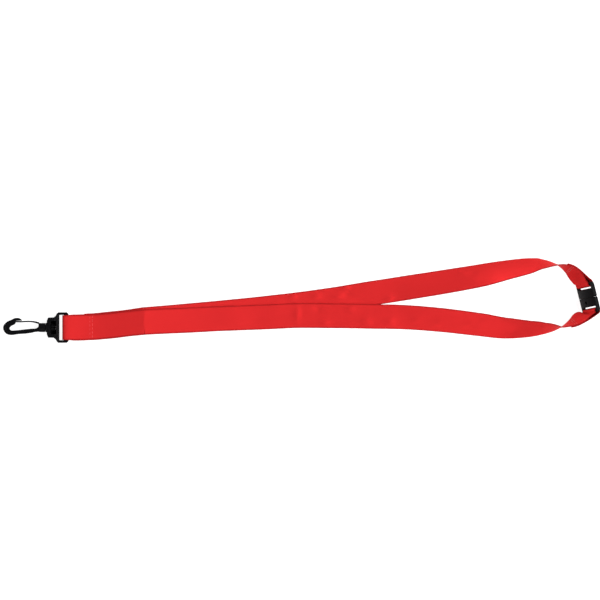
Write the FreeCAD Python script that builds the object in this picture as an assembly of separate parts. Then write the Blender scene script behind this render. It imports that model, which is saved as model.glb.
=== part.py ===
"""Neck lanyard: two flat ribbons, a breakaway buckle and a swivelling plastic snap hook.

The lanyard lies on a table, z = 0. The origin is at the centre of the swivel base's underside,
+X runs along the swivel axis towards the neck end and +Z is up. Millimetres throughout.
"""
import FreeCAD, Part
import os
from math import cos, hypot, radians, sin

V = FreeCAD.Vector
UP = V(0, 0, 1)

# Ribbons
RIBBON_WIDTH = 20.0
RIBBON_THICK = 0.8
LAYER = RIBBON_THICK + 0.1          # one ribbon lying on another
STATION = 9.0                       # distance between the strips' sections
THREAD = 0.35                       # thread thickness
STITCH_LENGTH = 2.2
STITCH_PITCH = 3.2
STITCHES = 6                        # in each row
ROW_GAP = 2.0                       # between the two rows of one seam
END_STATIONS = 18                   # sections of a ribbon's run to its buckle bar
BESIDE_BAR = 1.6                    # length of that run that is in line with the buckle
TAIL_START = 0.2                    # where the sewn-back tail begins, as a share of that run
SEAM_STATIONS = (6, 7)              # the sections where its two seam rows are

# Swivel base: housing, collar and strap loop
AXIS_Z = 4.0                        # swivel axis above the table
HOUSING_FRONT = -4.3
HOUSING_BACK = 2.2
HOUSING_HALF_WIDTH = 8.2
HOUSING_THICK = 2 * AXIS_Z
COLLAR_FRONT = -5.4
COLLAR_RADIUS = 3.9
LOOP_HALF_WIDTH = 12.45
LOOP_END = 13.2
LOOP_THICK = 3.6
SLOT_FRONT = 5.75
SLOT_HALF_WIDTH = RIBBON_WIDTH / 2 + 0.3
BAR_X = 11.3                        # centre of the strap bar
BAR_RADIUS = 1.75
WINDOW = (-1.3, 3.3, 5.4)           # front, back and half width of the pocket round the pin head
WINDOW_FLOOR = 0.8

# Hook
HOOK_THICK = 4.6
NECK_RADIUS = 3.7
NECK_FRONT = -9.4
NECK_BACK = COLLAR_FRONT - 0.3
PIN_RADIUS = 2.0
PIN_CLEARANCE = 0.06
PIN_HEAD_RADIUS = 3.0
PIN_END = 2.9
GATE_HINGE = (-11.4, 3.75)
GATE_ROOT_RADIUS = 0.75
GATE_THICK = 1.15
GATE_DEPTH = 4.0

# Breakaway buckle, in its own frame: x along it, y across it, z out of its inner face
BUCKLE_CENTRE = V(437.0, 24.2, 11.9)
BUCKLE_HEADING = (0.2425, -0.9701)  # plan direction from the plug to the socket
BUCKLE_LEAN = 64.0                  # its outer edge stands up by this angle
BUCKLE_LENGTH = 25.2
BUCKLE_WIDTH = 24.4
BUCKLE_THICK = 6.4
BUCKLE_EDGE_THICK = 3.0
BUCKLE_SPLIT = 0.16
BODY_END = 7.45                     # solid part, each side of the split
BUCKLE_BAR = 10.9                   # centre of each strap bar
BUCKLE_BAR_RADIUS = 1.4
TONGUE_LENGTH = 6.0
TONGUE_HALF_WIDTH = 7.8
TONGUE_THICK = 2.0
DETENT_X = 3.6
DETENT_RADIUS = 1.3

# Ribbon routes: (x, y, lean of the inner edge, height of the low edge); the strip's centre line
SEAM_X = 31.8                       # hook-end seam
SEAM_LIFT = 2.2                     # the stiff sewn stack stands off the table
CREASE_X = 75.0                     # fold mark across both ribbons, standing up as a low ridge
ROUTE_TAIL = [(34.5, 0.4, 0, SEAM_LIFT), (27.0, 0.2, 0, SEAM_LIFT), (20.0, 0.0, 0, 1.8),
              (15.0, 0.0, 0, 1.35)]
ROUTE_UPPER = [(26.5, 0.7, 0, SEAM_LIFT + LAYER), (34.5, 1.1, 0, SEAM_LIFT + LAYER),
               (42.0, 1.9, 0, 3.17), (50.0, 2.8, 0, 3.4), (60.0, 3.9, 0, 3.95),
               (75.0, 6.2, 0, 4.85), (84.0, 7.0, 0, 4.17), (94.0, 7.9, 0, 3.52),
               (105.0, 8.9, 0, 2.9), (120.0, 10.3, 0, 2.2), (134.0, 11.6, 0, 1.68),
               (153.0, 13.5, 0, 1.1), (173.0, 15.6, 0, 0.6), (203.0, 19.1, 0, 0.15),
               (232.0, 23.2, 0, 0), (261.0, 28.0, 0, 0), (276.0, 30.3, 0, 0), (291.0, 32.7, 4, 0),
               (320.0, 37.3, 11, 0), (350.0, 42.5, 21, 0), (370.0, 46.7, 36, 0),
               (389.0, 50.3, 50, 0), (398.7, 51.8, 65, 0), (404.0, 51.9, 73, 0),
               (413.0, 51.2, 90, 0)]
ROUTE_LOWER = [(15.0, 0.0, 0, 5.7), (20.0, 0.0, 0, 5.0),
               (25.0, 0.1, 0, SEAM_LIFT + 2 * LAYER + 0.25), (27.5, 0.2, 0, SEAM_LIFT + 2 * LAYER),
               (36.0, 0.6, 0, SEAM_LIFT + 2 * LAYER), (42.0, 1.1, 0, 4.07), (50.0, 1.8, 0, 4.3),
               (60.0, 3.0, 0, 4.85), (75.0, 4.5, 0, 5.75), (84.0, 4.9, 0, 5.07),
               (94.0, 5.3, 0, 4.42), (105.0, 5.7, 0, 3.8), (120.0, 6.4, 0, 3.1),
               (134.0, 7.1, 0, 2.58), (153.0, 7.8, 0, 2), (173.0, 8.5, 0, 1.5),
               (203.0, 9.7, 0, 1.05), (232.0, 9.5, 0, 0.9), (262.0, 9.0, 0, LAYER),
               (276.0, 8.8, 2, 0.6), (291.0, 8.3, 5, 0), (320.0, 5.9, 11, 0), (350.0, 2.3, 18, 0),
               (370.0, -0.4, 30, 0), (389.0, -1.1, 47, 0), (398.7, -0.6, 57, 0),
               (408.5, -0.1, 72, 0), (415.8, 0.3, 90, 0)]
# Beyond the upright point the strip leans over to its buckle bar: (x, y, lean, centre height)
ROUTE_UPPER_END = [(413.0, 51.2, 90, 10.0), (417.3, 50.1, 100, 10.0), (421.8, 47.8, 110, 9.9),
                   (428.5, 41.2, 123, 10.3), (431.9, 38.0, 122, 10.8)]
ROUTE_LOWER_END = [(416.2, 0.35, 90, 10.0), (420.5, 1.8, 98, 10.0), (425.3, 4.2, 109, 9.9),
                   (430.2, 7.8, 121, 10.2), (435.4, 10.4, 125, 10.8)]


def glide(values, knots, t):
    """Smooth interpolation of values at knots that never overshoots them."""
    i = max(k for k in range(len(knots) - 1) if knots[k] <= t or k == 0)
    rise = [(values[k + 1] - values[k]) / (knots[k + 1] - knots[k]) for k in range(len(knots) - 1)]

    def slope(k):
        if k in (0, len(knots) - 1):
            return rise[min(k, len(rise) - 1)]
        before, after = rise[k - 1], rise[k]
        return 2 * before * after / (before + after) if before * after > 0 else 0.0

    span = knots[i + 1] - knots[i]
    u = (t - knots[i]) / span
    return (values[i] * (1 + 2 * u) * (1 - u) ** 2 + slope(i) * span * u * (1 - u) ** 2
            + values[i + 1] * u * u * (3 - 2 * u) - slope(i + 1) * span * u * u * (1 - u))


def stations(route, inner_side, step=STATION):
    """(centre, width direction, face normal) along a route; inner_side is +1 left or -1 right."""
    knots = [0.0]
    for a, b in zip(route, route[1:]):
        knots.append(knots[-1] + hypot(b[0] - a[0], b[1] - a[1]))
    columns = list(zip(*route))
    count = max(2, round(knots[-1] / step))
    result = []
    for k in range(count + 1):
        t = knots[-1] * k / count
        x, y, lean, low = [glide(c, knots, t) for c in columns]
        near = min(max(t, 0.05), knots[-1] - 0.05)
        ahead = [glide(c, knots, near + 0.05) - glide(c, knots, near - 0.05) for c in columns[:2]]
        along = V(ahead[0], ahead[1], 0).normalize()
        inner = UP.cross(along) * inner_side
        tilt = radians(lean)
        across = inner * cos(tilt) + UP * sin(tilt)
        face = UP * cos(tilt) - inner * sin(tilt)
        height = low + RIBBON_WIDTH / 2 * abs(sin(tilt)) + RIBBON_THICK / 2 * abs(cos(tilt))
        result.append((V(x, y, height), across, face))
    return result


def turn(centre, across, start, towards, radius, angles):
    """Stations round a bar: from the start direction, round its towards side."""
    result = []
    for angle in angles:
        out = start * cos(radians(angle)) + towards * sin(radians(angle))
        result.append((centre + out * radius, across, out))
    return result


def strip(sections):
    """A ribbon: a thin rectangle carried through its stations."""
    wires = []
    for centre, across, face in sections:
        side = across * (RIBBON_WIDTH / 2)
        thick = face * (RIBBON_THICK / 2)
        corners = [centre + side + thick, centre - side + thick, centre - side - thick,
                   centre + side - thick]
        wires.append(Part.makePolygon(corners + corners[:1]))
    return Part.makeLoft(wires, True, True)


def seam_row(centre, across, face, depth):
    """A row of thread loops through layers depth deep in all; centre is in their middle."""
    loops = []
    for k in range(STITCHES):
        at = centre + across * ((k - (STITCHES - 1) / 2) * STITCH_PITCH)
        outer = thread_frame(at, across, face, STITCH_LENGTH, depth + 2 * THREAD, THREAD)
        hole = thread_frame(at, across, face, STITCH_LENGTH - 2 * THREAD, depth, THREAD * 2)
        loops.append(outer.cut(hole))
    return Part.makeCompound(loops)


def thread_frame(centre, across, face, length, height, thick):
    """A box centred on a point, its sides along the ribbon's directions."""
    box = Part.makeBox(length, thick, height, V(-length / 2, -thick / 2, -height / 2))
    along = face.cross(across)
    placed = FreeCAD.Matrix(across.x, along.x, face.x, centre.x, across.y, along.y, face.y, centre.y,
                            across.z, along.z, face.z, centre.z, 0, 0, 0, 1)
    return box.transformed(placed)


def plate(outline, low, high):
    """A closed outline of edges, extruded from low to high."""
    face = Part.Face(Part.Wire(outline))
    face.translate(V(0, 0, low))
    return face.extrude(V(0, 0, high - low))


def polygon(points, low, high):
    corners = [V(x, y, 0) for x, y in points]
    return plate(Part.makePolygon(corners + corners[:1]).Edges, low, high)


def curve(points):
    """A smooth edge through plan points."""
    spline = Part.BSplineCurve()
    spline.interpolate([V(x, y, 0) for x, y in points])
    return spline.toShape()


def line(a, b):
    return Part.LineSegment(V(a[0], a[1], 0), V(b[0], b[1], 0)).toShape()


def rod(x0, x1, r0, r1=None):
    """A round bar on the swivel axis, straight or tapered."""
    start = V(x0, 0, AXIS_Z)
    if r1 is None:
        return Part.makeCylinder(r0, x1 - x0, start, V(1, 0, 0))
    return Part.makeCone(r0, r1, x1 - x0, start, V(1, 0, 0))


def rounded(shape, radius, wanted):
    """Fillet the edges for which wanted(edge box) is true."""
    edges = [e for e in shape.Edges if wanted(e.BoundBox)]
    return shape.makeFillet(radius, edges)


def swivel_base():
    half, loop = HOUSING_HALF_WIDTH, LOOP_HALF_WIDTH
    front = HOUSING_FRONT
    upper = [(front, half - 2.6), (front + 1.2, half), (1.4, half + 0.1), (2.9, half + 1.3),
             (3.9, loop - 1.0), (4.9, loop), (LOOP_END - 1.3, loop), (LOOP_END, loop - 1.3)]
    plan = upper + [(x, -y) for x, y in reversed(upper)]
    body = polygon(plan, 0, HOUSING_THICK)
    side = [(front, AXIS_Z - 3.4), (front + 1.0, 0), (HOUSING_BACK, 0),
            (SLOT_FRONT - 0.9, AXIS_Z - LOOP_THICK / 2), (LOOP_END, AXIS_Z - LOOP_THICK / 2)]
    side += [(x, 2 * AXIS_Z - z) for x, z in reversed(side)]
    profile = Part.makePolygon([V(x, -20, z) for x, z in side + side[:1]])
    body = body.common(Part.Face(profile).extrude(V(0, 40, 0)))
    opening = Part.makeBox(LOOP_END - SLOT_FRONT + 1, 2 * SLOT_HALF_WIDTH, HOUSING_THICK,
                           V(SLOT_FRONT, -SLOT_HALF_WIDTH, 0))
    bar_half = SLOT_HALF_WIDTH + 0.6
    bar = Part.makeCylinder(BAR_RADIUS, 2 * bar_half, V(BAR_X, -bar_half, AXIS_Z), V(0, 1, 0))
    body = body.cut(opening).fuse(bar)
    body = body.fuse(rod(COLLAR_FRONT, front + 1, COLLAR_RADIUS))
    window_front, window_back, window_half = WINDOW
    pocket = Part.makeBox(window_back - window_front, 2 * window_half, HOUSING_THICK,
                          V(window_front, -window_half, WINDOW_FLOOR))
    pocket = rounded(pocket, 0.6, lambda b: b.ZLength > 5)
    bore = rod(COLLAR_FRONT - 1, window_front + 1, PIN_RADIUS + PIN_CLEARANCE)
    return body.cut(pocket).cut(bore).removeSplitter()


def hook():
    """The eye, nose, neck and split swivel pin: one moulding."""
    low = AXIS_Z - HOOK_THICK / 2
    high = AXIS_Z + HOOK_THICK / 2
    outside = [(-29.0, 7.95), (-31.0, 7.5), (-33.4, 6.3), (-36.6, 4.9), (-38.6, 3.0), (-39.8, 0.0),
               (-39.0, -3.0), (-36.8, -5.1), (-34.1, -5.85), (-28.4, -5.3), (-21.9, -4.8),
               (-16.2, -4.0), (-12.9, -3.5), (NECK_FRONT, -3.5)]
    inside = [(-11.15, 0.9), (-12.3, -0.2), (-16.2, -1.05), (-24.3, -1.9), (-31.7, -2.6),
              (-34.2, -2.2), (-35.15, -0.7), (-34.3, 0.9), (-32.5, 2.0), (-30.9, 2.75), (-29.85, 3.9)]
    root = (-11.15, 2.2)
    nose = (-24.7, 5.68)
    edges = [curve(outside), line(outside[-1], (NECK_FRONT, 3.5)),
             line((NECK_FRONT, 3.5), (-11.15, 3.5)), line((-11.15, 3.5), root), line(root, inside[0]),
             curve(inside), line(inside[-1], (-29.85, 5.53)), line((-29.85, 5.53), nose),
             curve([nose, (-25.2, 6.5), (-26.2, 7.35), (-27.4, 7.8), outside[0]])]
    eye = plate(edges, low, high)
    neck = rod(-12.5, NECK_BACK, NECK_RADIUS)
    neck = neck.common(polygon([(NECK_FRONT - 1.2, -4), (NECK_BACK, -4), (NECK_BACK, 4),
                                (NECK_FRONT - 1.2, 4)], 0, HOUSING_THICK))
    body = eye.fuse(neck)
    socket = Part.makeCylinder(GATE_ROOT_RADIUS + 0.06, HOUSING_THICK, V(*GATE_HINGE, 0))
    body = body.cut(socket)
    pin = rod(NECK_BACK - 1, WINDOW[0] + 0.35, PIN_RADIUS)
    pin = pin.fuse(rod(WINDOW[0] + 0.35, WINDOW[0] + 1.0, PIN_HEAD_RADIUS))
    pin = pin.fuse(rod(WINDOW[0] + 1.0, PIN_END, PIN_HEAD_RADIUS, PIN_HEAD_RADIUS - 1.2))
    split = Part.makeBox(PIN_END - WINDOW[0] + 2, 0.9, HOUSING_THICK, V(WINDOW[0] - 1, -0.45, 0))
    return body.fuse(pin.cut(split)).removeSplitter()


def hook_gate():
    """The springy tongue that closes the eye; its round root turns in the neck."""
    x, y = GATE_HINGE
    top = [(x, y + GATE_ROOT_RADIUS), (-13.7, 5.1), (-16.4, 5.5), (-20.0, 5.6), (-29.65, 5.45)]
    under = [(-29.65, 5.45 - GATE_THICK), (-20.0, 5.6 - GATE_THICK), (-16.4, 4.3), (-13.7, 3.75),
             (x, y - GATE_ROOT_RADIUS)]
    low = AXIS_Z - GATE_DEPTH / 2
    tongue = plate([curve(top), line(top[-1], under[0]), curve(under), line(under[-1], top[0])],
                   low, low + GATE_DEPTH)
    return tongue.fuse(Part.makeCylinder(GATE_ROOT_RADIUS, GATE_DEPTH, V(x, y, low))).removeSplitter()


def buckle_blank():
    """One half of the buckle, on the +x side: crowned body, two arms and a strap bar."""
    half, edge, crown = BUCKLE_WIDTH / 2, BUCKLE_EDGE_THICK / 2, BUCKLE_THICK / 2
    start, end = BUCKLE_SPLIT / 2, BUCKLE_LENGTH / 2
    top = Part.Arc(V(start, -half, edge), V(start, 0, crown), V(start, half, edge)).toShape()
    bottom = Part.Arc(V(start, half, -edge), V(start, 0, -crown), V(start, -half, -edge)).toShape()
    ends = [Part.LineSegment(V(start, y, z), V(start, y, -z)).toShape()
            for y, z in ((half, edge), (-half, -edge))]
    section = Part.Face(Part.Wire([top, ends[0], bottom, ends[1]]))
    body = section.extrude(V(end - start, 0, 0))
    notch, corner = 1.0, 1.8
    outline = [(start, half - notch), (start + notch, half), (end - corner, half),
               (end, half - corner), (end, corner - half), (end - corner, -half),
               (start + 0.2, -half), (start, 0.2 - half)]
    body = body.common(polygon(outline, -crown, crown))
    shoulder = BODY_END + 0.2
    for side in (1, -1):
        step = [(shoulder, edge), (end + 1, edge), (end + 1, crown + 1), (shoulder - 1.2, crown + 1),
                (shoulder - 0.6, crown)]
        wire = Part.makePolygon([V(x, -20, side * z) for x, z in step + step[:1]])
        body = body.cut(Part.Face(wire).extrude(V(0, 40, 0)))
    opening = Part.makeBox(end - BODY_END + 1, 2 * SLOT_HALF_WIDTH, BUCKLE_THICK,
                           V(BODY_END, -SLOT_HALF_WIDTH, -crown))
    bar_half = SLOT_HALF_WIDTH + 1
    bar = Part.makeCylinder(BUCKLE_BAR_RADIUS, 2 * bar_half, V(BUCKLE_BAR, -bar_half, 0), V(0, 1, 0))
    return body.cut(opening).fuse(bar).removeSplitter()


def buckle_frame():
    """Directions of the buckle: along it, across it to its raised edge, and out of its inner face."""
    along = V(BUCKLE_HEADING[0], BUCKLE_HEADING[1], 0).normalize()
    outward = UP.cross(along)
    tilt = radians(BUCKLE_LEAN)
    across = outward * cos(tilt) + UP * sin(tilt)
    return along, across, along.cross(across)


def place_buckle(shape):
    along, across, face = buckle_frame()
    c = BUCKLE_CENTRE
    matrix = FreeCAD.Matrix(along.x, across.x, face.x, c.x, along.y, across.y, face.y, c.y,
                            along.z, across.z, face.z, c.z, 0, 0, 0, 1)
    return shape.transformed(matrix)


def buckle_socket():
    """The half with the cavity and the round detent hole."""
    body = buckle_blank()
    depth = TONGUE_LENGTH + 0.3
    cavity = Part.makeBox(depth + 1, 2 * TONGUE_HALF_WIDTH + 0.6, TONGUE_THICK + 0.8,
                          V(-1, -TONGUE_HALF_WIDTH - 0.3, -TONGUE_THICK / 2 - 0.4))
    hole = Part.makeCylinder(DETENT_RADIUS, BUCKLE_THICK, V(DETENT_X, 0, 0))
    return place_buckle(body.cut(cavity).cut(hole))


def buckle_plug():
    """The half with the tongue: two prongs and a low detent dome, on the -x side."""
    body = buckle_blank().mirror(V(0, 0, 0), V(1, 0, 0))
    half, tip = TONGUE_HALF_WIDTH, TONGUE_LENGTH
    outline = [(-1.0, -half), (tip - 1.6, -half), (tip, -half + 1.6), (tip, half - 1.6),
               (tip - 1.6, half), (-1.0, half)]
    tongue = polygon(outline, -TONGUE_THICK / 2, TONGUE_THICK / 2)
    for side in (-1, 1):
        slit = Part.makeBox(tip + 1, 0.9, TONGUE_THICK, V(1.0, side * 4.2 - 0.45, -TONGUE_THICK / 2))
        tongue = tongue.cut(slit)
    dome = Part.makeCone(DETENT_RADIUS - 0.2, 0.6, 0.25, V(DETENT_X, 0, TONGUE_THICK / 2))
    return place_buckle(body.fuse(tongue).fuse(dome).removeSplitter())


def buckle_end(route, inner_side, half_sign):
    """Stations of a run that starts upright and ends in line with its buckle bar."""
    along, across, face = buckle_frame()
    bar = BUCKLE_CENTRE + along * (half_sign * BUCKLE_BAR)
    guide = bar + along * (half_sign * BESIDE_BAR)
    lean = 180 - BUCKLE_LEAN
    points = route + [(guide.x, guide.y, lean, guide.z), (bar.x, bar.y, lean, bar.z)]
    knots = [0.0]
    for a, b in zip(points, points[1:]):
        knots.append(knots[-1] + hypot(b[0] - a[0], b[1] - a[1]))
    columns = list(zip(*points))
    result = []
    for k in range(END_STATIONS + 1):
        t = knots[-1] * k / END_STATIONS
        near = min(max(t, 0.05), knots[-1] - 0.05)
        x, y, lean, height = [glide(c, knots, t) for c in columns]
        ahead = [glide(c, knots, near + 0.05) - glide(c, knots, near - 0.05) for c in columns[:2]]
        inner = UP.cross(V(ahead[0], ahead[1], 0).normalize()) * inner_side
        tilt = radians(lean)
        width = inner * cos(tilt) + UP * sin(tilt)
        normal = UP * cos(tilt) - inner * sin(tilt)
        share = min(1.0, t / knots[-2]) ** 3
        width = (width * (1 - share) + across * share).normalize()
        normal = normal * (1 - share) - face * share
        normal = (normal - width * normal.dot(width)).normalize()
        result.append((V(x, y, height), width, normal))
    return result


def buckle_wrap(route, inner_side, half_sign):
    """A ribbon's end at its buckle bar: stations of the run, the turn and the sewn-back tail."""
    along, across, face = buckle_frame()
    bar = BUCKLE_CENTRE + along * (half_sign * BUCKLE_BAR)
    radius = BUCKLE_BAR_RADIUS + 0.15 + RIBBON_THICK / 2
    path = buckle_end(route, inner_side, half_sign)
    run, tail = [], []
    for k, (centre, width, normal) in enumerate(path):
        share = k / END_STATIONS
        opened = min(1.0, max(0.0, 2.5 * share - 1.25))
        spread = LAYER / 2 + (radius - LAYER / 2) * opened ** 2
        spread *= min(1.0, share / TAIL_START)
        run.append((centre - normal * spread, width, normal))
        if share >= TAIL_START:
            tail.append((centre + normal * spread, width, normal * -1))
    wrap = [(at, width, out * -1) for at, width, out in
            turn(bar, across, face, along * -half_sign, radius, (45, 90, 135))]
    return run + wrap + tail[::-1]


def creased(route, inner_side):
    """Stations on both sides of the fold mark."""
    mark = [point[0] for point in route].index(CREASE_X)
    return stations(route[:mark + 1], inner_side, 3.0) + stations(route[mark:], inner_side)[1:]


def upper_ribbon():
    return strip(creased(ROUTE_UPPER, -1)[:-1] + buckle_wrap(ROUTE_UPPER_END, -1, -1))


def lower_ribbon():
    bar = V(BAR_X, 0, AXIS_Z)
    radius = BAR_RADIUS + 0.2 + RIBBON_THICK / 2
    across = V(0, 1, 0)
    tail = [(at, across, normal * -1) for at, width, normal in stations(ROUTE_TAIL, -1, 3.0)]
    wrap = turn(bar, across, UP * -1, V(-1, 0, 0), radius, range(0, 181, 30))
    return strip(tail + wrap + creased(ROUTE_LOWER, 1))


def lower_ribbon_end():
    return strip(buckle_wrap(ROUTE_LOWER_END, 1, 1))


def buckle_rows(route, inner_side, half_sign):
    """The two rows that hold a buckle end's fold."""
    path = buckle_end(route, inner_side, half_sign)
    return [seam_row(*path[station], LAYER + RIBBON_THICK) for station in SEAM_STATIONS]


def hook_rows():
    """The two rows through the tail, the upper ribbon's end and the lower ribbon."""
    depth = 2 * LAYER + RIBBON_THICK
    return [seam_row(V(SEAM_X + side * ROW_GAP / 2, 0.5, SEAM_LIFT + depth / 2), V(0, 1, 0), UP, depth)
            for side in (-1, 1)]


def build():
    hook_seams = hook_rows()
    plug_seams = buckle_rows(ROUTE_UPPER_END, -1, -1)
    socket_seams = buckle_rows(ROUTE_LOWER_END, 1, 1)
    return {
        "hook": hook(),
        "hook_gate": hook_gate(),
        "swivel_base": swivel_base(),
        "upper_ribbon": upper_ribbon(),
        "lower_ribbon": lower_ribbon(),
        "lower_ribbon_end": lower_ribbon_end(),
        "buckle_plug": buckle_plug(),
        "buckle_socket": buckle_socket(),
        "hook_seam_outer": hook_seams[0],
        "hook_seam_inner": hook_seams[1],
        "plug_seam_outer": plug_seams[0],
        "plug_seam_inner": plug_seams[1],
        "socket_seam_outer": socket_seams[0],
        "socket_seam_inner": socket_seams[1],
    }


os.makedirs("parts", exist_ok=True)
for name, shape in build().items():
    shape.exportStep("parts/" + name + ".step")
    box = shape.BoundBox
    print(f"{name:20s} solids {len(shape.Solids)} valid {shape.isValid()} volume {shape.Volume:9.1f} "
          f"x {box.XMin:.1f}..{box.XMax:.1f} y {box.YMin:.1f}..{box.YMax:.1f} "
          f"z {box.ZMin:.2f}..{box.ZMax:.2f}")
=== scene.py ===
"""The neck lanyard's looks: satin ribbons, thread seams and moulded plastic, around the CAD frame.

Ribbons, threads and plastic skins are built in millimetres and scaled to metres.
"""
from math import cos, hypot, pi, radians, sin

import bmesh
import bpy
import numpy as np
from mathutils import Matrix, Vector


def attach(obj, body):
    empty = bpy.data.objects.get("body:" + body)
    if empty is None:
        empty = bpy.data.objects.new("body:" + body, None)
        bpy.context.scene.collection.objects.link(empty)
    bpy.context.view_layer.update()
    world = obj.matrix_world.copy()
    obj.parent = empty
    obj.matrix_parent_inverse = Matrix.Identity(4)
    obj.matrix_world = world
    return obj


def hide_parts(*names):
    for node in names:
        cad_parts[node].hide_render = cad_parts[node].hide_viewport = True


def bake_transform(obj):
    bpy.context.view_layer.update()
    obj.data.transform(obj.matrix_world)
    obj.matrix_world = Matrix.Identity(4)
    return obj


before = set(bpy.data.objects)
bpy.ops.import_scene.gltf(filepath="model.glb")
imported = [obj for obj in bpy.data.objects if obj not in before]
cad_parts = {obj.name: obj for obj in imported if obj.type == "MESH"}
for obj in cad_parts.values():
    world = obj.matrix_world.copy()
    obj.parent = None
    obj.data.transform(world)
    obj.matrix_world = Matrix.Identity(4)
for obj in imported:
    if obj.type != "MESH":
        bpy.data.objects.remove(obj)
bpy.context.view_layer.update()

MM = 0.001
UP = np.array([0.0, 0.0, 1.0])

# ---------------------------------------------------------------- dimensions, mm
# Ribbons
THICK = 0.8
LAYER = THICK + 0.1                 # one ribbon lying on another
RIBBON_WIDTH = 20.0                 # for the routes; HALF_WIDTHS gives the visible width
HALF_WIDTHS = ((12, 10.12), (18, 10.7), (45, 10.6), (100, 10.25), (160, 10.1), (300, 10.0), (420, 9.9))
EDGE_ANGLES = (30, 60, 90, 120, 150)
EDGE_WAVER = 0.10
EDGE_CURL = 0.06
RIB_HEIGHT = 0.05                   # the raised cord just inside each selvedge
RIB_INSET = 0.75
RIB_SPREAD = 0.3
FINE_STEP = 0.5                     # between a ribbon's sections up to FINE_END and round the crease
COARSE_STEP = 1.3
FINE_END = 37.0
CREASE_REACH = 4.5
DETAIL_START = 36.0                 # dents fade in from here
DETAIL_FADE = 20.0

# Swivel base, seams and stitches
AXIS_Z = 4.0
BAR_X = 11.3
BAR_WRAP = 2.35                     # radius of the ribbon's middle round the hook's strap bar
BAR_SLACK = 0.4                     # how far that turn stands off the bar at its end
SEAM_X = 31.8
SEAM_LIFT = 2.2
ROW_GAP = 2.0
STITCHES = 6
STITCH_PITCH = 3.2
STITCH_REACH = 0.47                 # half of a stitch, as a share of the pitch
STITCH_RISE = 0.14
STITCH_DIP = 0.55
PLY_RADIUS = 0.10
PLY_OFFSET = 0.085
PLY_TWIST = 7.0

# Breakaway buckle
BUCKLE_CENTRE = np.array([437.0, 24.2, 11.9])
BUCKLE_HEADING = np.array([0.2425, -0.9701, 0.0])
BUCKLE_LEAN = 64.0
BUCKLE_BAR = 10.9
BUCKLE_WRAP = 1.95
BESIDE_BAR = 1.6
OVER_ARM = 1.3                      # how far the visible layer lies over the buckle's inner arm
TAIL_START = 0.2                    # shares of the run to the buckle bar
SEAM_SHARES = (6 / 18, 7 / 18)

CREASE_X = 75.0                     # fold mark across both ribbons, a low ridge
CREASE_SLANT = 0.109                # its turn away from square
CREASE_Y = 5.7

# (x, y, lean of the inner edge, height of the low edge)
ROUTE_TAIL = [(34.5, 0.4, 0, 2.2), (27.0, 0.2, 0, 2.2), (20.0, 0.0, 0, 1.8), (15.0, 0.0, 0, 1.35)]
ROUTE_UPPER = [(26.5, 0.7, 0, 3.1), (34.5, 1.1, 0, 3.1),
               (42.0, 1.9, 0, 3.3), (50.0, 2.8, 0, 3.8), (60.0, 3.9, 0, 4.65),
               (75.0, 6.2, 0, 6.0), (84.0, 7.0, 0, 5.2), (94.0, 7.9, 0, 4.4),
               (105.0, 8.9, 0, 3.6), (120.0, 10.3, 0, 2.65), (134.0, 11.6, 0, 1.95),
               (153.0, 13.5, 0, 1.1), (173.0, 15.6, 0, 0.6), (203.0, 19.1, 0, 0.15),
               (232.0, 23.2, 0, 0), (261.0, 28.0, 0, 0), (276.0, 30.3, 0, 0), (291.0, 32.7, 4, 0),
               (320.0, 37.3, 11, 0), (350.0, 42.5, 21, 0), (370.0, 46.7, 36, 0),
               (389.0, 50.3, 50, 0), (398.7, 51.8, 65, 0), (404.0, 51.9, 73, 0),
               (413.0, 51.2, 90, 0)]
ROUTE_LOWER = [(15.0, 0.0, 0, 5.55), (20.0, 0.0, 0, 5.07),
               (25.0, 0.1, 0, 4.62), (30.0, 0.3, 0, 4.28),
               (36.0, 0.6, 0, 4.07), (42.0, 1.1, 0, 4.2), (50.0, 1.8, 0, 4.7),
               (60.0, 3.0, 0, 5.55), (75.0, 4.5, 0, 6.9), (84.0, 4.9, 0, 6.1),
               (94.0, 5.3, 0, 5.3), (105.0, 5.7, 0, 4.5), (120.0, 6.4, 0, 3.55),
               (134.0, 7.1, 0, 2.85), (153.0, 7.8, 0, 2), (173.0, 8.5, 0, 1.5),
               (203.0, 9.7, 0, 1.05), (232.0, 9.5, 0, 0.9), (262.0, 9.0, 0, 0.9),
               (276.0, 8.8, 2, 0.6), (291.0, 8.3, 5, 0), (320.0, 5.9, 11, 0), (350.0, 2.3, 18, 0),
               (370.0, -0.4, 30, 0), (389.0, -1.1, 47, 0), (398.7, -0.6, 57, 0),
               (408.5, -0.1, 72, 0), (415.8, 0.3, 90, 0)]
# (x, y, lean, centre height) of the last run to each buckle bar
ROUTE_UPPER_END = [(413.0, 51.2, 90, 10.0), (417.3, 50.1, 100, 10.0), (421.8, 47.8, 110, 9.9),
                   (428.5, 41.2, 123, 10.3), (431.9, 38.0, 122, 10.8)]
ROUTE_LOWER_END = [(416.2, 0.35, 90, 10.0), (420.5, 1.8, 98, 10.0), (425.3, 4.2, 109, 9.9),
                   (430.2, 7.8, 121, 10.2), (435.4, 10.4, 125, 10.8)]

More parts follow.
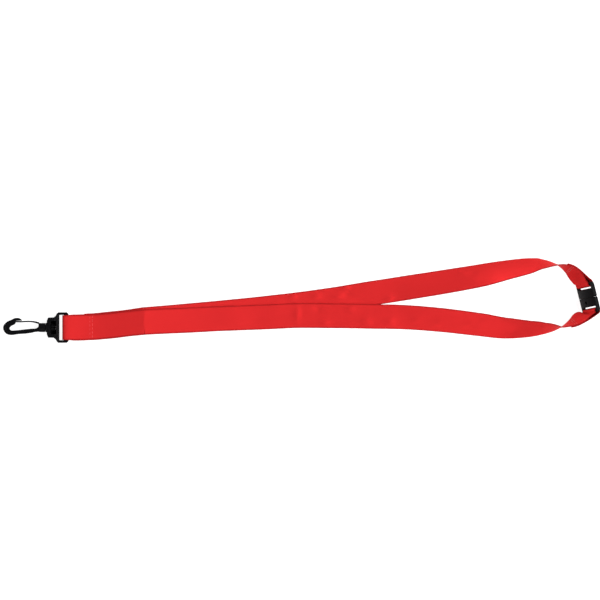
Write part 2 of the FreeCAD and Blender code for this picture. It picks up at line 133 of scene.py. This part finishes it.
# Soft dents in the lying ribbons: x, y, spread along, spread across, height
DENTS = [(199.9, 11.0, 2.6, 7.0, 0.44), (196.6, 24.9, 3.2, 2.6, 0.5), (215.8, 25.7, 3.6, 2.4, 0.5),
         (216.7, 15.1, 3.0, 3.0, -0.36), (222.7, 3.7, 3.8, 3.0, 0.44), (233.3, 24.9, 3.8, 3.0, 0.44),
         (239.5, 32.7, 3.4, 2.4, 0.5), (241.3, 27.8, 3.0, 2.4, -0.36), (243.9, 15.1, 3.4, 3.0, 0.4),
         (253.0, 21.6, 9.0, 2.2, -0.44), (256.2, 5.3, 4.0, 3.2, 0.5), (275.8, 24.1, 3.6, 2.6, 0.5),
         (275.8, 4.5, 3.8, 3.0, 0.5), (297.8, 6.1, 4.4, 3.4, 0.5), (316.2, 3.7, 4.0, 3.0, 0.5),
         (335.4, 44.5, 4.2, 3.0, 0.6), (345.2, 41.7, 3.8, 2.8, -0.5), (340.3, 2.0, 4.4, 3.0, 0.6),
         (350.0, 7.8, 3.6, 2.6, -0.5), (376.3, -3.7, 3.2, 3.0, 0.7), (396.7, 53.5, 3.0, 3.0, 0.7),
         (401.6, 1.6, 3.2, 3.0, 0.7), (147.0, 9.0, 14.0, 12.0, 0.36), (166.0, 5.0, 9.0, 6.0, -0.28),
         (182.0, 17.0, 7.0, 5.0, 0.28)]


def unit(v):
    return v / np.linalg.norm(v)


def glide(values, knots, t):
    """Smooth interpolation of values at knots that never overshoots them."""
    i = max(k for k in range(len(knots) - 1) if knots[k] <= t or k == 0)
    rise = [(values[k + 1] - values[k]) / (knots[k + 1] - knots[k]) for k in range(len(knots) - 1)]

    def slope(k):
        if k in (0, len(knots) - 1):
            return rise[min(k, len(rise) - 1)]
        before, after = rise[k - 1], rise[k]
        return 2 * before * after / (before + after) if before * after > 0 else 0.0

    span = knots[i + 1] - knots[i]
    u = (t - knots[i]) / span
    return (values[i] * (1 + 2 * u) * (1 - u) ** 2 + slope(i) * span * u * (1 - u) ** 2
            + values[i + 1] * u * u * (3 - 2 * u) - slope(i + 1) * span * u * u * (1 - u))


def lengths(route):
    """Plan distance along a route at each of its points."""
    knots = [0.0]
    for a, b in zip(route, route[1:]):
        knots.append(knots[-1] + hypot(b[0] - a[0], b[1] - a[1]))
    return knots


def plan_inner(columns, knots, t, inner_side):
    """Level direction from a route's centre line to the loop's inside."""
    near = min(max(t, 0.05), knots[-1] - 0.05)
    ahead = [glide(c, knots, near + 0.05) - glide(c, knots, near - 0.05) for c in columns[:2]]
    return np.cross(UP, unit(np.array([ahead[0], ahead[1], 0.0]))) * inner_side


def lying(route, inner_side):
    """(centre, width direction, normal) along a route on the table, on both sides of any crease."""
    marks = [k for k, point in enumerate(route) if point[0] == CREASE_X]
    if marks:
        return lying_run(route[:marks[0] + 1], inner_side) + lying_run(route[marks[0]:], inner_side)
    return lying_run(route, inner_side)


def lying_run(route, inner_side):
    """Stations of one smooth stretch; lean lifts its inner edge and the low edge keeps its height."""
    knots, columns = lengths(route), list(zip(*route))
    result, t = [], 0.0
    while t < knots[-1] - 0.3:
        x, y, lean, low = [glide(c, knots, t) for c in columns]
        inner, tilt = plan_inner(columns, knots, t, inner_side), radians(lean)
        height = low + RIBBON_WIDTH / 2 * abs(sin(tilt)) + THICK / 2 * abs(cos(tilt))
        result.append((np.array([x, y, height]), inner * cos(tilt) + UP * sin(tilt),
                       UP * cos(tilt) - inner * sin(tilt)))
        t += FINE_STEP if x < FINE_END or abs(x - CREASE_X) < CREASE_REACH else COARSE_STEP
    return result


def buckle_axes():
    """The buckle's own directions: along it, across it and out of its inner face."""
    along = unit(BUCKLE_HEADING)
    outward = np.cross(UP, along)
    tilt = radians(BUCKLE_LEAN)
    across = outward * cos(tilt) + UP * sin(tilt)
    return along, across, np.cross(along, across)


def leaning(route, inner_side, half_sign, shares):
    """Stations of a run that starts upright and ends in line with its buckle bar."""
    along, across, face = buckle_axes()
    bar = BUCKLE_CENTRE + along * (half_sign * BUCKLE_BAR)
    guide = bar + along * (half_sign * BESIDE_BAR)
    lean = 180 - BUCKLE_LEAN
    points = route + [(guide[0], guide[1], lean, guide[2]), (bar[0], bar[1], lean, bar[2])]
    knots, columns = lengths(points), list(zip(*points))
    result = []
    for share in shares:
        t = knots[-1] * share
        x, y, lean, height = [glide(c, knots, t) for c in columns]
        inner, tilt = plan_inner(columns, knots, t, inner_side), radians(lean)
        width = inner * cos(tilt) + UP * sin(tilt)
        normal = UP * cos(tilt) - inner * sin(tilt)
        part = min(1.0, t / knots[-2]) ** 3
        width = unit(width * (1 - part) + across * part)
        normal = normal * (1 - part) - face * part
        result.append((np.array([x, y, height]), width, unit(normal - width * normal.dot(width))))
    return result


def fold_spread(share):
    """Half of the distance between a fold's two layers, which opens out to the buckle bar."""
    opened = min(1.0, max(0.0, 2.5 * share - 1.25))
    return (LAYER / 2 + (BUCKLE_WRAP - LAYER / 2) * opened ** 2) * min(1.0, share / TAIL_START)


def buckle_fold(route, inner_side, half_sign):
    """A ribbon's run to its buckle bar, its turn round it and the sewn-back tail."""
    along, across, face = buckle_axes()
    bar = BUCKLE_CENTRE + along * (half_sign * BUCKLE_BAR)
    shares = [k / 48 for k in range(49)]
    run, tail = [], []
    for share, (centre, width, normal) in zip(shares, leaning(route, inner_side, half_sign, shares)):
        spread = fold_spread(share)
        skew = OVER_ARM * min(1.0, max(0.0, (share - 0.55) / 0.35)) ** 2
        run.append((centre - normal * spread - width * skew, width, normal))
        if share >= TAIL_START:
            tail.append((centre + normal * spread, width, -normal))
    wrap = []
    for angle in range(15, 180, 15):
        out = face * cos(radians(angle)) - along * (half_sign * sin(radians(angle)))
        skew = OVER_ARM * max(0.0, 1 - angle / 75)
        wrap.append((bar + out * BUCKLE_WRAP - width * skew, width, -out))
    return run + wrap + tail[::-1]


def hook_fold():
    """The lower ribbon's tail under the hook's strap bar and its turn round the bar."""
    tail = [(c, np.array([0.0, 1.0, 0.0]), -n) for c, _, n in lying(ROUTE_TAIL, -1)]
    wrap = []
    for angle in range(0, 181, 10):
        out = -UP * cos(radians(angle)) + np.array([-1.0, 0, 0]) * sin(radians(angle))
        at = np.array([BAR_X - BAR_SLACK * sin(radians(angle)), 0.0, AXIS_Z]) + out * BAR_WRAP
        wrap.append((at, np.array([0.0, 1.0, 0.0]), out))
    return tail + wrap


# ---------------------------------------------------------------- surface detail
def half_width(x):
    """Half of the ribbons' visible width at a place along the lanyard."""
    return np.interp(x, *zip(*HALF_WIDTHS))


def relief(x, y):
    """Height of the soft dents and bumps of ribbon that was folded in a packet."""
    height = np.zeros_like(x)
    for dx, dy, sx, sy, amount in DENTS:
        height += amount * np.exp(-((x - dx) / sx) ** 2 - ((y - dy) / sy) ** 2)
    return height


def slant(x, y, heights):
    """Change of height that turns the crease from square to its slanting line."""
    xs, zs = heights
    shift = CREASE_SLANT * (y - CREASE_Y) * np.clip((x - 40) / 20, 0, 1) * np.clip((130 - x) / 30, 0, 1)
    return np.interp(x - shift, xs, zs) - np.interp(x, xs, zs)


def flutter(s, seed):
    """A small sideways waver of a woven edge."""
    rng = np.random.default_rng(seed)
    total = np.zeros_like(s)
    for wave in (61.0, 37.0, 19.0, 11.0, 6.3):
        total += rng.uniform(0.2, 1.0) * np.sin(2 * pi * s / wave + rng.uniform(0, 6.28))
    return total / 4


def mesh_object(name, vertices, faces, uvs=None):
    """A smooth-shaded object from millimetre vertices."""
    mesh = bpy.data.meshes.new(name)
    mesh.from_pydata([tuple(v) for v in np.asarray(vertices) * MM], [], faces)
    if uvs is not None:
        layer = mesh.uv_layers.new(name="UVMap")
        loops = np.zeros(len(mesh.loops), int)
        mesh.loops.foreach_get("vertex_index", loops)
        layer.data.foreach_set("uv", np.asarray(uvs)[loops].ravel())
    mesh.update()
    mesh.polygons.foreach_set("use_smooth", [True] * len(mesh.polygons))
    obj = bpy.data.objects.new(name, mesh)
    bpy.context.scene.collection.objects.link(obj)
    return obj


def strip(name, stations, detail, seed):
    """A ribbon with rounded selvedges. detail is how much relief each station takes, 0 to 1."""
    centre = np.array([s[0] for s in stations])
    across = np.array([s[1] for s in stations])
    face = np.array([s[2] for s in stations])
    run = np.concatenate([[0], np.cumsum(np.linalg.norm(np.diff(centre, axis=0), axis=1))])
    half = half_width(centre[:, 0])
    left = half + EDGE_WAVER * flutter(run, seed)
    right = half + EDGE_WAVER * flutter(run, seed + 1)
    steps = np.linspace(-1, 1, 27)
    round_off = THICK / 2
    order = np.argsort(centre[:, 0])
    heights = (centre[order, 0], centre[order, 2])
    loop = [(v, 1.0, 0.0) for v in steps]
    loop += [(1.0, cos(radians(a)), sin(radians(a))) for a in EDGE_ANGLES]
    loop += [(v, -1.0, 0.0) for v in steps[::-1]]
    loop += [(-1.0, -cos(radians(a)), -sin(radians(a))) for a in EDGE_ANGLES]
    vertices, uvs = [], []
    for v, h, out in loop:
        edge = np.where(v > 0, right, left) - round_off
        u = v * edge + out * round_off
        mid = centre + across * u[:, None]
        lift = relief(mid[:, 0], mid[:, 1])
        lift += slant(mid[:, 0], mid[:, 1], heights)
        lift += EDGE_CURL * flutter(run * 1.7 + 40 * v, seed + 2) * abs(v) ** 3
        selvedge = RIB_HEIGHT * np.exp(-((abs(u) - half + RIB_INSET) / RIB_SPREAD) ** 2)
        vertices.append(mid + face * (lift * detail + h * (THICK / 2 + selvedge - 0.02))[:, None])
        uvs.append(np.stack([run, u], 1))
    count, size = len(stations), len(loop)
    vertices = np.array(vertices).transpose(1, 0, 2).reshape(-1, 3)
    uvs = np.array(uvs).transpose(1, 0, 2).reshape(-1, 2)
    faces = [(i * size + j, (i + 1) * size + j, (i + 1) * size + (j + 1) % size, i * size + (j + 1) % size)
             for i in range(count - 1) for j in range(size)]
    faces += [tuple(range(size)), tuple((count - 1) * size + j for j in reversed(range(size)))]
    obj = mesh_object(name, vertices, faces, uvs)
    fix = bmesh.new()
    fix.from_mesh(obj.data)
    bmesh.ops.recalc_face_normals(fix, faces=fix.faces)
    fix.to_mesh(obj.data)
    fix.free()
    return obj, float(run[-1])


# ---------------------------------------------------------------- threads
def tube(path, radius, sides=6):
    """Vertices and faces of a round thread along path points."""
    path = np.array(path)
    tangent = np.gradient(path, axis=0)
    vertices, faces = [], []
    side = np.cross(tangent[0], [0.3, 0.5, 0.81])
    for p, t in zip(path, tangent):
        t = unit(t)
        side = unit(side - t * side.dot(t))
        other = np.cross(t, side)
        for k in range(sides):
            a = 2 * pi * k / sides
            vertices.append(p + (side * cos(a) + other * sin(a)) * radius)
    for i in range(len(path) - 1):
        for k in range(sides):
            a, b = i * sides + k, i * sides + (k + 1) % sides
            faces.append((a, b, b + sides, a + sides))
    faces += [tuple(range(sides))[::-1], tuple((len(path) - 1) * sides + k for k in range(sides))]
    return vertices, faces


def stitch_row(name, frames, half_depth):
    """Two-ply twisted stitches on both faces of a stack of ribbon; frames give each one's place."""
    vertices, faces = [], []
    for centre, across, face in frames:
        along = np.cross(face, across)
        for side in (1, -1):
            for ply in (0, pi):
                path = []
                for k in range(17):
                    u = k / 16 * 2 - 1
                    high = half_depth + STITCH_RISE - STITCH_DIP * abs(u) ** 5
                    turn = ply + u * PLY_TWIST
                    path.append(centre + across * (u * STITCH_PITCH * STITCH_REACH)
                                + face * side * (high + PLY_OFFSET * sin(turn))
                                + along * PLY_OFFSET * cos(turn))
                v, f = tube(path, PLY_RADIUS)
                faces += [tuple(i + len(vertices) for i in quad) for quad in f]
                vertices += v
    return mesh_object(name, vertices, faces)


def row_frames(centre, across, face):
    """Places of one row's stitches across the ribbon."""
    return [(centre + across * ((k - (STITCHES - 1) / 2) * STITCH_PITCH), across, face)
            for k in range(STITCHES)]


# ---------------------------------------------------------------- moulded plastic
def skin(node, name, voxel, smooth, shape=None):
    """A moulding with softened edges, made from a CAD node's own shape."""
    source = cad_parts[node]
    obj = bpy.data.objects.new(name, source.data.copy())
    bpy.context.scene.collection.objects.link(obj)
    work = bmesh.new()
    work.from_mesh(obj.data)
    bmesh.ops.remove_doubles(work, verts=work.verts, dist=1e-6)
    work.to_mesh(obj.data)
    work.free()
    obj.data.materials.clear()
    remesh = obj.modifiers.new("remesh", "REMESH")
    remesh.mode, remesh.voxel_size, remesh.adaptivity = "VOXEL", voxel * MM, 0
    relax = obj.modifiers.new("relax", "SMOOTH")
    relax.factor, relax.iterations = 0.5, smooth
    graph = bpy.context.evaluated_depsgraph_get()
    final = bpy.data.meshes.new_from_object(obj.evaluated_get(graph))
    obj.modifiers.clear()
    obj.data = final
    if shape is not None:
        points, normals = np.zeros(len(final.vertices) * 3), np.zeros(len(final.vertices) * 3)
        final.vertices.foreach_get("co", points)
        final.vertices.foreach_get("normal", normals)
        points = shape(points.reshape(-1, 3) / MM, normals.reshape(-1, 3)) * MM
        final.vertices.foreach_set("co", points.ravel())
        final.update()
    final.polygons.foreach_set("use_smooth", [True] * len(final.polygons))
    return obj


def away_from(points, line):
    """Plan distance of points from a polyline."""
    nearest = np.full(len(points), 1e9)
    for a, b in zip(line, line[1:]):
        a, b = np.array(a, float), np.array(b, float)
        d = b - a
        t = np.clip(((points[:, :2] - a) @ d) / d.dot(d), 0, 1)
        nearest = np.minimum(nearest, np.linalg.norm(points[:, :2] - a - t[:, None] * d, axis=1))
    return nearest


ARM_SWELL = 0.22
GROOVE_DEPTH = 0.75
GROOVE_HALF_WIDTH = 1.15
GROOVE_SLOPE = 0.45
HOOK_GROOVE = [(-28.4, 5.6), (-31.6, 4.6), (-35.0, 3.0), (-36.9, 0.6), (-37.0, -1.7), (-35.4, -3.7),
               (-32.5, -4.25), (-28.0, -3.75), (-22.0, -3.3), (-16.2, -2.5), (-13.4, -2.1)]


def hook_shape(points, normals):
    """The hook arm's grooved faces, and a little more body than the remeshed shape kept."""
    outside = np.clip((-14 - points[:, 0]) / 3, 0, 1) * np.clip((3.6 - points[:, 1]) / 0.8, 0, 1)
    points[:, :2] += normals[:, :2] * (ARM_SWELL * outside)[:, None]
    near = away_from(points, HOOK_GROOVE)
    high = points[:, 2] - AXIS_Z
    inside = np.clip((GROOVE_HALF_WIDTH - near) / GROOVE_SLOPE, 0, 1)
    depth = GROOVE_DEPTH * inside * np.clip((abs(high) - 1.5) / 0.5, 0, 1)
    points[:, 2] -= np.sign(high) * depth
    return points


# ---------------------------------------------------------------- materials
def nodes_of(name):
    """A new material, its node tree and its shader."""
    material = bpy.data.materials.new(name)
    material.use_nodes = True
    tree = material.node_tree
    return material, tree, tree.nodes["Principled BSDF"]


def math_node(tree, operation, a, b=None, clamp=False):
    node = tree.nodes.new("ShaderNodeMath")
    node.operation, node.use_clamp = operation, clamp
    for socket, value in zip(node.inputs, (a, b)):
        if value is None:
            continue
        if isinstance(value, (int, float)):
            socket.default_value = value
        else:
            tree.links.new(value, socket)
    return node.outputs[0]


def mix_colour(tree, factor, a, b):
    node = tree.nodes.new("ShaderNodeMix")
    node.data_type = "RGBA"
    for socket, value in ((node.inputs[0], factor), (node.inputs[6], a), (node.inputs[7], b)):
        if isinstance(value, (int, float, tuple)):
            socket.default_value = value
        else:
            tree.links.new(value, socket)
    return node.outputs[2]


def noise(tree, vector, scale, detail=2.0):
    node = tree.nodes.new("ShaderNodeTexNoise")
    node.inputs["Scale"].default_value = scale
    node.inputs["Detail"].default_value = detail
    tree.links.new(vector, node.inputs["Vector"])
    return node.outputs["Fac"]


def bump(tree, height, strength, distance, normal=None):
    node = tree.nodes.new("ShaderNodeBump")
    node.inputs["Strength"].default_value = strength
    node.inputs["Distance"].default_value = distance
    tree.links.new(height, node.inputs["Height"])
    if normal is not None:
        tree.links.new(normal, node.inputs["Normal"])
    return node.outputs["Normal"]


def satin(name, colour, edge_shade_red):
    """Woven polyester satin: fine warp lines along it, a plainer selvedge weave at each side, and painted
    shade: a darker red along the rounded edges.
    """
    material, tree, shader = nodes_of(name)
    uv = tree.nodes.new("ShaderNodeUVMap")
    uv.uv_map = "UVMap"
    split = tree.nodes.new("ShaderNodeSeparateXYZ")
    tree.links.new(uv.outputs[0], split.inputs[0])
    run, wide = split.outputs[0], split.outputs[1]
    edge = math_node(tree, "ABSOLUTE", wide)
    selvedge = math_node(tree, "SUBTRACT", edge, 8.8)
    selvedge = math_node(tree, "MULTIPLY", selvedge, 0.9, clamp=True)
    warp = math_node(tree, "SINE", math_node(tree, "MULTIPLY", wide, 2 * pi * 2.6))
    weft = math_node(tree, "SINE", math_node(tree, "MULTIPLY", run, 2 * pi * 1.7))
    inverse = math_node(tree, "SUBTRACT", 1.0, selvedge)
    warp_part = math_node(tree, "MULTIPLY", warp, math_node(tree, "MULTIPLY", inverse, 0.5))
    weft_part = math_node(tree, "MULTIPLY", weft, math_node(tree, "MULTIPLY", selvedge, 0.7))
    weave = math_node(tree, "ADD", warp_part, weft_part)
    stretch = tree.nodes.new("ShaderNodeMapping")
    stretch.inputs["Scale"].default_value = (0.08, 1.6, 1.0)
    tree.links.new(uv.outputs[0], stretch.inputs["Vector"])
    streaks = noise(tree, stretch.outputs[0], 1.0, 4.0)
    cloud = tree.nodes.new("ShaderNodeMapping")
    cloud.inputs["Scale"].default_value = (0.06, 0.09, 1.0)
    tree.links.new(uv.outputs[0], cloud.inputs["Vector"])
    clouds = noise(tree, cloud.outputs[0], 1.0, 3.0)
    tone = math_node(tree, "ADD", math_node(tree, "MULTIPLY", streaks, 0.35),
                     math_node(tree, "MULTIPLY", clouds, 0.35))
    body = mix_colour(tree, tone, colour, tuple(0.93 * c for c in colour[:3]) + (1.0,))
    # painted shade: the outer edge of each side blends into the darker edge red
    tree.links.new(mix_colour(tree, selvedge, body, edge_shade_red),
                   shader.inputs["Base Color"])
    rough = math_node(tree, "ADD", 0.43, math_node(tree, "MULTIPLY", streaks, 0.12))
    tree.links.new(rough, shader.inputs["Roughness"])
    shader.inputs["Metallic"].default_value = 0.4
    shader.inputs["Specular IOR Level"].default_value = 0.02
    shader.inputs["Specular Tint"].default_value = (1.0, 0.3, 0.3, 1.0)
    shader.inputs["Sheen Weight"].default_value = 0.0
    first = bump(tree, weave, 0.35, 0.00006)
    second = bump(tree, streaks, 0.25, 0.0002, first)
    tree.links.new(second, shader.inputs["Normal"])
    return material


def thread_stuff(name, colour):
    """Polyester sewing thread with a fine fibre."""
    material, tree, shader = nodes_of(name)
    place = tree.nodes.new("ShaderNodeTexCoord").outputs["Object"]
    fibre = noise(tree, place, 9000.0, 2.0)
    tree.links.new(mix_colour(tree, fibre, colour, tuple(0.8 * c for c in colour[:3]) + (1.0,)),
                   shader.inputs["Base Color"])
    shader.inputs["Roughness"].default_value = 0.4
    shader.inputs["Sheen Weight"].default_value = 0.3
    shader.inputs["Sheen Roughness"].default_value = 0.4
    tree.links.new(bump(tree, fibre, 0.3, 0.00004), shader.inputs["Normal"])
    return material


def plastic(name, colour, rough, grain):
    """Moulded plastic with a fine grain and small changes of gloss."""
    material, tree, shader = nodes_of(name)
    place = tree.nodes.new("ShaderNodeTexCoord").outputs["Object"]
    broad = noise(tree, place, 260.0, 3.0)
    fine = noise(tree, place, 2600.0, 2.0)
    tree.links.new(mix_colour(tree, broad, colour, tuple(1.5 * c for c in colour[:3]) + (1.0,)),
                   shader.inputs["Base Color"])
    tree.links.new(math_node(tree, "ADD", rough - 0.05, math_node(tree, "MULTIPLY", broad, 0.12)),
                   shader.inputs["Roughness"])
    shader.inputs["Specular IOR Level"].default_value = 0.025
    shader.inputs["IOR"].default_value = 1.5
    tree.links.new(bump(tree, fine, grain, 0.00005), shader.inputs["Normal"])
    return material


RED = (0.60, 0.0215, 0.0225, 1.0)
# darker red for the ribbons' edges: painted shade of the rounded selvedges
RED_EDGE_SHADE = (0.34, 0.012, 0.013, 1.0)
ribbon_look = satin("ribbon_satin", RED, RED_EDGE_SHADE)
thread_look = thread_stuff("sewing_thread", (0.74, 0.05, 0.05, 1.0))
hook_look = plastic("hook_black", (0.0035, 0.0035, 0.004, 1.0), 0.30, 0.05)
buckle_look = plastic("buckle_black", (0.0042, 0.0042, 0.0046, 1.0), 0.40, 0.12)

for node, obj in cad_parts.items():
    look = buckle_look if "buckle" in node else hook_look
    if "ribbon" in node or "seam" in node:
        look = thread_look
    obj.data.materials.clear()
    obj.data.materials.append(look)


def dressed(obj, look, slot_name, body, *replaced):
    """Gives a piece its material and body, and hides the CAD nodes that it stands for; slot_name is not
    used.
    """
    obj.data.materials.clear()
    obj.data.materials.append(look)
    if body:
        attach(obj, body)
    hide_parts(*replaced)
    return obj


# ---------------------------------------------------------------- the lanyard
def ribbon(name, start, main, end, seed):
    """A strip whose lying stretch takes the dents, fading in beyond the hook-end seam."""
    along = np.array([station[0][0] for station in main])
    detail = np.concatenate([np.zeros(len(start)), np.clip((along - DETAIL_START) / DETAIL_FADE, 0, 1),
                             np.zeros(len(end))])
    return strip(name, start + main + end, detail, seed)


lower, lower_length = ribbon("lower_ribbon_cloth", hook_fold(), lying(ROUTE_LOWER, 1),
                             buckle_fold(ROUTE_LOWER_END, 1, 1), 3)
upper, upper_length = ribbon("upper_ribbon_cloth", [], lying(ROUTE_UPPER, -1),
                             buckle_fold(ROUTE_UPPER_END, -1, -1), 11)

dressed(upper, ribbon_look, "red_satin", "strap", "upper_ribbon")
dressed(lower, ribbon_look, "red_satin", None, "lower_ribbon", "lower_ribbon_end")
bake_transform(lower)

threads = {}
three_layers = (2 * LAYER + THICK) / 2
two_layers = (LAYER + THICK) / 2
for row, offset in (("outer", -1), ("inner", 1)):
    middle = np.array([SEAM_X + offset * ROW_GAP / 2, 0.5 + 0.4 * offset, SEAM_LIFT + three_layers])
    frames = row_frames(middle, np.array([0.0, 1.0, 0.0]), UP)
    threads["hook_seam_" + row] = stitch_row("hook_thread_" + row, frames, three_layers)
for name, route, side, sign in (("plug", ROUTE_UPPER_END, -1, -1), ("socket", ROUTE_LOWER_END, 1, 1)):
    for row, share in zip(("outer", "inner"), SEAM_SHARES):
        centre, across, face = leaning(route, side, sign, [share])[0]
        frames = row_frames(centre, across, face)
        threads[name + "_seam_" + row] = stitch_row(name + "_thread_" + row, frames, two_layers)
for node, obj in threads.items():
    dressed(obj, thread_look, "thread", "socket_half" if "socket" in node else "strap", node)

dressed(skin("hook", "hook_moulding", 0.17, 5, hook_shape), hook_look, "black_plastic", "hook", "hook")
dressed(skin("hook_gate", "gate_moulding", 0.13, 3), hook_look, "black_plastic", "gate", "hook_gate")
dressed(skin("swivel_base", "base_moulding", 0.17, 6), hook_look, "black_plastic", "base", "swivel_base")
dressed(skin("buckle_plug", "plug_moulding", 0.17, 4), buckle_look, "buckle_plastic", "strap",
        "buckle_plug")
dressed(skin("buckle_socket", "socket_moulding", 0.17, 4), buckle_look, "buckle_plastic", "socket_half",
        "buckle_socket")

# ---------------------------------------------------------------- table, light, camera
table_mesh = bpy.data.meshes.new("table")
table_mesh.from_pydata([(-3, -3, 0), (3, -3, 0), (3, 3, 0), (-3, 3, 0)], [], [(0, 1, 2, 3)])
table = bpy.data.objects.new("table", table_mesh)
bpy.context.scene.collection.objects.link(table)
table.location = (0.2, 0.02, -0.0001)
table_look, _, table_shader = nodes_of("table_white")
table_shader.inputs["Base Color"].default_value = (0.35, 0.35, 0.35, 1.0)
table_shader.inputs["Roughness"].default_value = 0.9
table_shader.inputs["Specular IOR Level"].default_value = 0.1
table_shader.inputs["Emission Color"].default_value = (1.0, 1.0, 1.0, 1.0)
table_shader.inputs["Emission Strength"].default_value = 0.9
table_mesh.materials.append(table_look)


def far_light(name, azimuth, elevation, strength, spread):
    """A large soft lamp far away, from a compass direction: 0 is +X and 90 is +Y."""
    data = bpy.data.lights.new(name, "SUN")
    data.energy, data.angle = strength, radians(spread)
    lamp = bpy.data.objects.new(name, data)
    bpy.context.scene.collection.objects.link(lamp)
    a, e = radians(azimuth), radians(elevation)
    towards = Vector((cos(a) * cos(e), sin(a) * cos(e), sin(e)))
    lamp.location = towards * 2
    lamp.rotation_euler = towards.to_track_quat("Z", "Y").to_euler()


far_light("key", 5, 52, 2.7, 24)
far_light("low_right", 8, 30, 0.95, 30)
far_light("top_side", 128, 18, 1.95, 35)
far_light("near_side", 250, 42, 1.35, 35)

world = bpy.data.worlds.new("studio")
world.use_nodes = True
world.node_tree.nodes["Background"].inputs["Color"].default_value = (1.0, 1.0, 1.0, 1.0)
world.node_tree.nodes["Background"].inputs["Strength"].default_value = 0.10
bpy.context.scene.world = world
bpy.context.scene.view_settings.view_transform = "Standard"
bpy.context.scene.view_settings.look = "None"

lens = bpy.data.cameras.new("camera")
lens.lens, lens.sensor_width = 200.0, 36.0
lens.clip_start, lens.clip_end = 0.1, 20.0
camera = bpy.data.objects.new("camera", lens)
bpy.context.scene.collection.objects.link(camera)
camera.location = (0.2023, 0.0225, 0.490 * 200.0 / 36.0 + 0.004)
camera.rotation_euler = (0, 0, 0)
bpy.context.scene.camera = camera
